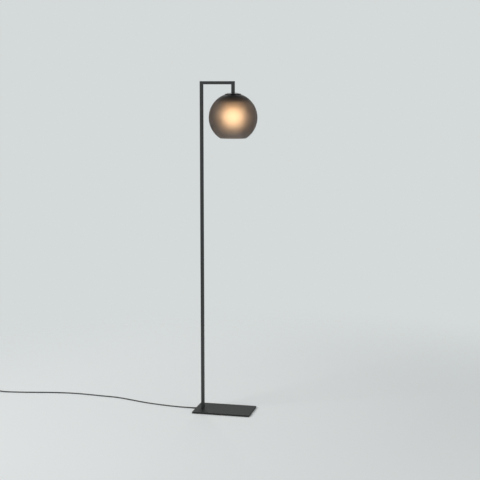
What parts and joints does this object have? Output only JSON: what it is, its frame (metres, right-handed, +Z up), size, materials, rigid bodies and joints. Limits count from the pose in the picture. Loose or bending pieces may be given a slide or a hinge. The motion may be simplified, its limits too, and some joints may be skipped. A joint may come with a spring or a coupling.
{
  "type": "globe floor lamp",
  "caption": "Slim floor lamp: square post on a flat rectangular plate, short arm, and a smoked glass globe open below hanging from its end.",
  "frame": {"origin": "on the floor under the middle of the lamp's bounding box, the cord and what is on it left out", "axes": "+X along the arm from post to globe, +Y away from the viewer, +Z up"},
  "size_m": [1.518, 0.2289, 1.5],
  "materials": {
    "powder_black": "satin powder coat",
    "cap_black": "satin powder coat",
    "zinc": "zinc plated",
    "brass": "plain",
    "rubber_black": "matte",
    "seal": "matte silicone",
    "smoked_glass": "smoked, softly frosted",
    "holder_black": "moulded phenolic",
    "porcelain": "glazed",
    "insulator": "black",
    "bulb_metal": "plain",
    "bulb_white": "white",
    "bulb_opal": "opal, lit",
    "wire": "wire insulation",
    "cord_black": "black cord sheath",
    "switch_black": "fine moulded grain",
    "strap": "woven strap",
    "pin_metal": "nickel plated"
  },
  "bodies": {
    "stand": {"base_plate": "powder_black", "base_feet": "rubber_black", "base_washer": "zinc", "base_nut": "zinc", "base_nipple": "zinc", "post_foot_plug": "zinc", "post_lower": "powder_black", "post_sleeve": "zinc", "grub_screws": "zinc", "post_upper": "powder_black", "arm": "powder_black", "drop_tube": "powder_black", "drop_tube_plug": "zinc", "head_nipple": "zinc", "shade_cap": "cap_black", "upper_seal": "seal", "shade": "smoked_glass", "lower_seal": "seal", "shade_carrier": "zinc", "carrier_nut": "zinc", "holder_cap": "holder_black", "holder_skirt": "holder_black", "holder_core": "porcelain", "holder_shell": "zinc", "holder_contact": "brass", "holder_terminals": "brass", "inner_wires": "wire", "strain_relief": "cord_black", "switch_tray": "switch_black", "switch_cover": "switch_black", "switch_mechanism": "insulator", "switch_screws": "zinc", "coil_strap": "strap", "plug_body": "cord_black", "plug_pins": "pin_metal", "cord_run": "cord_black", "cord_link": "cord_black", "cord_coil": "cord_black", "cord_tail": "cord_black"},
    "bulb": {"bulb_contact": "zinc", "bulb_insulator": "insulator", "bulb_cap": "bulb_metal", "bulb_housing": "bulb_white", "bulb_globe": "bulb_opal"},
    "button": {"switch_button": "switch_black"}
  },
  "joints": [
    {"name": "bulb_turn", "type": "hinge", "parent": "stand", "child": "bulb", "pos_m": [0.0335, 0, 1.36], "axis": [0, 0, -1], "range_deg": [0, 1620]},
    {"name": "switch_press", "type": "slide", "parent": "stand", "child": "button", "axis": [0, 0, -1], "range_m": [0, 0.0035], "stiffness_N_per_m": 600, "springref_m": -0.002}
  ]
}
